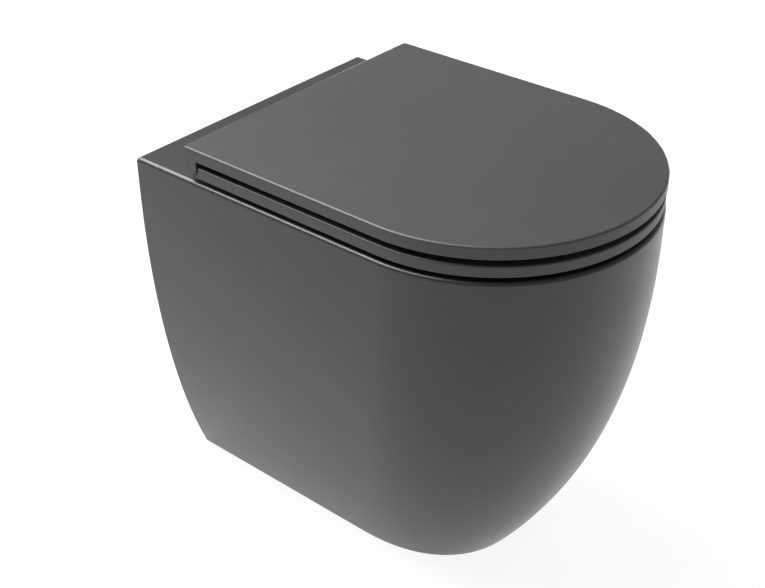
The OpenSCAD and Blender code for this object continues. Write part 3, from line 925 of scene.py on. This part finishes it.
def seat_slab():
    """The ring: up its outer edge, over the top, down the opening and back along the hollow underside."""
    rings = [
        seat_outline(SEAT_Z + SEAT_EDGE * up, SEAT_EDGE * inward) for inward, up in reversed(quarter_round(4))
    ]
    rings += [
        seat_outline(SEAT_TOP - SEAT_EDGE * down, SEAT_EDGE * inward) for inward, down in quarter_round(5)
    ]
    rings += [seat_outline(SEAT_TOP, SEAT_EDGE + 0.5 * MM), opening_ring(SEAT_TOP, OPENING_ROUND + 20 * MM)]
    # the top dips by DISH on its way to the opening's rounding
    dip = [(1.9, -0.08), (1.4, -0.02)]
    rings += [
        opening_ring(SEAT_TOP - DISH - (OPENING_ROUND - DISH) * down, OPENING_ROUND * inward)
        for inward, down in [*dip, *reversed(quarter_round(7))]
    ]
    rings += [
        opening_ring(SEAT_Z + OPENING_LOWER_ROUND * up, OPENING_LOWER_ROUND * inward)
        for inward, up in quarter_round(4)
    ]
    hollow_top = SEAT_Z + HOLLOW_RISE
    rings += [
        opening_ring(SEAT_Z, OPENING_LOWER_ROUND + 1 * MM),
        opening_ring(SEAT_Z, 12 * MM),
        opening_ring(hollow_top, 15 * MM),
        opening_ring(hollow_top, 38 * MM),
        seat_outline(hollow_top, 17 * MM),
        seat_outline(SEAT_Z, 14 * MM),
        seat_outline(SEAT_Z, SEAT_EDGE + 1 * MM),
    ]
    return make_outward(ring_stack("seat_shell", rings, closed=True))


def seat_rear_cuts():
    """What the rear of the seat gives up for the cover's blocks and the hinge housings."""
    far = COVER_HALF_W + PAST
    y, z = AXIS.y, AXIS.z
    notch_low = (-KNUCKLE_IN, y - SEAT_NOTCH, SEAT_Z - PAST)
    notch_high = (KNUCKLE_IN, y + BEHIND, SEAT_TOP + PAST)
    return [
        axle("scoop", 1, -COVER_HALF_W, COVER_HALF_W, SCOOP_R),
        box("above_scoop", (-far, y - SCOOP_R, z), (far, y + BEHIND, z + BEHIND)),
        box("rear_trim", (-far, y - PAST, SEAT_Z - PAST), (far, y + BEHIND, z + BEHIND)),
        box("rear_notch", notch_low, notch_high),
    ]


def seat_knuckle(side):
    """The eye that carries the seat on its shaft or bush."""
    low, high = mirrored(side, KNUCKLE_IN, KNUCKLE_OUT)
    front, sole, top = AXIS.y - SEAT_NOTCH - 4 * MM, SEAT_Z + 1.6 * MM, SEAT_TOP - 0.05 * MM
    outline = [(front, sole), (AXIS.y - 6 * MM, sole)]
    outline += [
        (AXIS.y + KNUCKLE_R * math.sin(a), AXIS.z - KNUCKLE_R * math.cos(a))
        for a in angles(math.pi, ARC_STEPS)
    ]
    outline += [(AXIS.y - 7.5 * MM, SEAT_TOP + 3 * MM), (AXIS.y - 13 * MM, top), (front, top)]
    return soften(prism(f"knuckle{side}", outline, low, high), KNUCKLE_EDGE)


def build_seat():
    """The ring with its two knuckles, and the holes for its keyed shaft and its bush."""
    seat = seat_slab()
    combine(seat, seat_rear_cuts(), "DIFFERENCE")
    combine(seat, [seat_knuckle(-1), seat_knuckle(1)], "UNION")
    combine(seat, [
        axle("bush_hole", -1, KNUCKLE_IN - PAST, KNUCKLE_OUT + PAST, BUSH_R),
        key("key_hole", 1, KNUCKLE_IN - PAST, KNUCKLE_OUT + PAST),
    ], "DIFFERENCE")
    clean(seat)
    shade(seat)
    return finish_piece(seat, "seat", "seat_resin", [RESIN], "seat_ring")


# ---- small parts ----


def refined(node, body, slot):
    """A copy of a CAD node with its flat faces whole again and its edges rounded."""
    material, edge = SLOT_FINISH[slot]
    source = frame["nodes"][node]
    obj = bpy.data.objects.new(f"{node}_piece", source.data.copy())
    bpy.context.scene.collection.objects.link(obj)
    bm = bmesh.new()
    bm.from_mesh(obj.data)
    bmesh.ops.remove_doubles(bm, verts=bm.verts, dist=0.002 * MM)
    bmesh.ops.dissolve_limit(bm, angle_limit=math.radians(1), verts=bm.verts, edges=bm.edges)
    bm.to_mesh(obj.data)
    bm.free()
    soften(obj, edge, 30, 2)
    shade(obj, 40)
    return finish_piece(obj, body, slot, [material], node)


# each pair of seat buffers: distance from the middle and from the wall, in mm
BUFFER_PLACES = [(146, 176), (118, 430)]
BUFFER_R = 7 * MM
BUFFER_ROUND = 1 * MM


def build_seat_buffers():
    """Four rubber buffers, from just above the deck up into the hollow under the seat ring."""
    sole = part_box("seat_buffers")[0].z
    top = SEAT_Z + HOLLOW_RISE + 0.1 * MM - sole
    profile = [
        (BUFFER_R - BUFFER_ROUND * inward, BUFFER_ROUND * up) for inward, up in reversed(quarter_round(4))
    ]
    profile += [(BUFFER_R, top - BUFFER_ROUND), (BUFFER_R - 0.2 * MM, top)]
    buffers = [
        lathe(f"buffer{x}{side}", profile, (side * x * MM, at_wall(d * MM), sole), steps=40)
        for x, d in BUFFER_PLACES for side in (-1, 1)
    ]
    whole = combine(buffers[0], buffers[1:], "UNION")
    return finish_piece(shade(whole, 40), "seat", "rubber", [RUBBER], "seat_buffers")


def refine_small_parts():
    """Every CAD node that isn't built anew keeps its shape, with rounded edges and a real finish."""
    record = frame["record"]
    slots = {s["node"]: s["material_slot"] for s in record["subparts"]}
    bodies = {n: body for body, nodes in record["behaviour"]["bodies"].items() for n in nodes}
    for node in sorted(frame["nodes"]):
        if node not in ("pan", "cover", "seat_ring", "seat_buffers"):
            refined(node, bodies[node], slots[node])


# ---- studio ----


FLOOR_HALF = 30
FLOOR_Z = -0.3 * MM
BACKDROP_R = 28
BACKDROP_H = 20
BACKDROP_SIDES = 96
WORLD_STRENGTH = 0.27
# the camera's bearing from the pan's front, its height above level, its distance and what it looks at
CAMERA_AZIMUTH, CAMERA_ELEVATION = math.radians(-50.38), math.radians(32.87)
CAMERA_DISTANCE = 1.4486
CAMERA_TARGET = Vector((-34.03 * MM, at_wall(217.77 * MM), 265.49 * MM))
CAMERA_LENS = 61.85


def build_floor():
    """A wide pale floor, a hair under the sole."""
    half = FLOOR_HALF
    corners = [(-half, -half, 0), (half, -half, 0), (half, half, 0), (-half, half, 0)]
    floor = mesh_object("floor", corners, [(0, 1, 2, 3)])
    floor.location.z = FLOOR_Z
    floor.data.materials.append(pale_floor())


def build_backdrop():
    """A far round wall in the floor's tone, which only the camera sees, so that it takes no light away."""
    sides = BACKDROP_SIDES
    points = [
        (BACKDROP_R * math.cos(a), BACKDROP_R * math.sin(a), z)
        for z in (0, BACKDROP_H) for a in angles(2 * math.pi, sides)[:-1]
    ]
    faces = [(k, sides + k, sides + (k + 1) % sides, (k + 1) % sides) for k in range(sides)]
    wall = mesh_object("backdrop", points, faces)
    wall.data.materials.append(pale_backdrop())
    wall.visible_diffuse = False
    wall.visible_glossy = False
    wall.visible_transmission = False
    wall.visible_shadow = False


def area_light(name, place, target, size, power):
    """A soft rectangular light at a place, turned to its target."""
    light = bpy.data.lights.new(name, "AREA")
    light.shape = "RECTANGLE"
    light.size, light.size_y = size
    light.energy = power
    obj = bpy.data.objects.new(name, light)
    bpy.context.scene.collection.objects.link(obj)
    obj.location = place
    obj.rotation_euler = (Vector(target) - Vector(place)).to_track_quat("-Z", "Y").to_euler()


def build_lights():
    """An even pale sky, a large light above the rear and a low one on the right."""
    world = bpy.data.worlds.new("studio")
    bpy.context.scene.world = world
    world.use_nodes = True
    background = world.node_tree.nodes["Background"]
    background.inputs["Color"].default_value = (1, 1, 1, 1)
    background.inputs["Strength"].default_value = WORLD_STRENGTH
    area_light("overhead", (-0.35, 1.4, 2.7), (0, 0, 0.4), (2.6, 2.2), 190)
    area_light("right_wall", (1.9, 0.9, 0.25), (0, 0, 0.2), (1.8, 0.6), 40)
    bpy.context.scene.view_settings.view_transform = "Standard"


def build_camera():
    """The camera stands in front to the left and looks down on the pan."""
    camera = bpy.data.cameras.new("camera")
    camera.sensor_width = 36
    camera.lens = CAMERA_LENS
    camera.clip_end = 100
    obj = bpy.data.objects.new("camera", camera)
    bpy.context.scene.collection.objects.link(obj)
    level = math.cos(CAMERA_ELEVATION)
    back = Vector((
        math.sin(CAMERA_AZIMUTH) * level, -math.cos(CAMERA_AZIMUTH) * level, math.sin(CAMERA_ELEVATION)
    ))
    obj.location = CAMERA_TARGET + back * CAMERA_DISTANCE
    obj.rotation_mode = "QUATERNION"
    obj.rotation_quaternion = (-back).to_track_quat("-Z", "Y")
    bpy.context.scene.camera = obj


build_camera()
build_lights()
build_floor()
build_backdrop()
build_pan()
build_cover()
build_seat()
build_seat_buffers()
refine_small_parts()
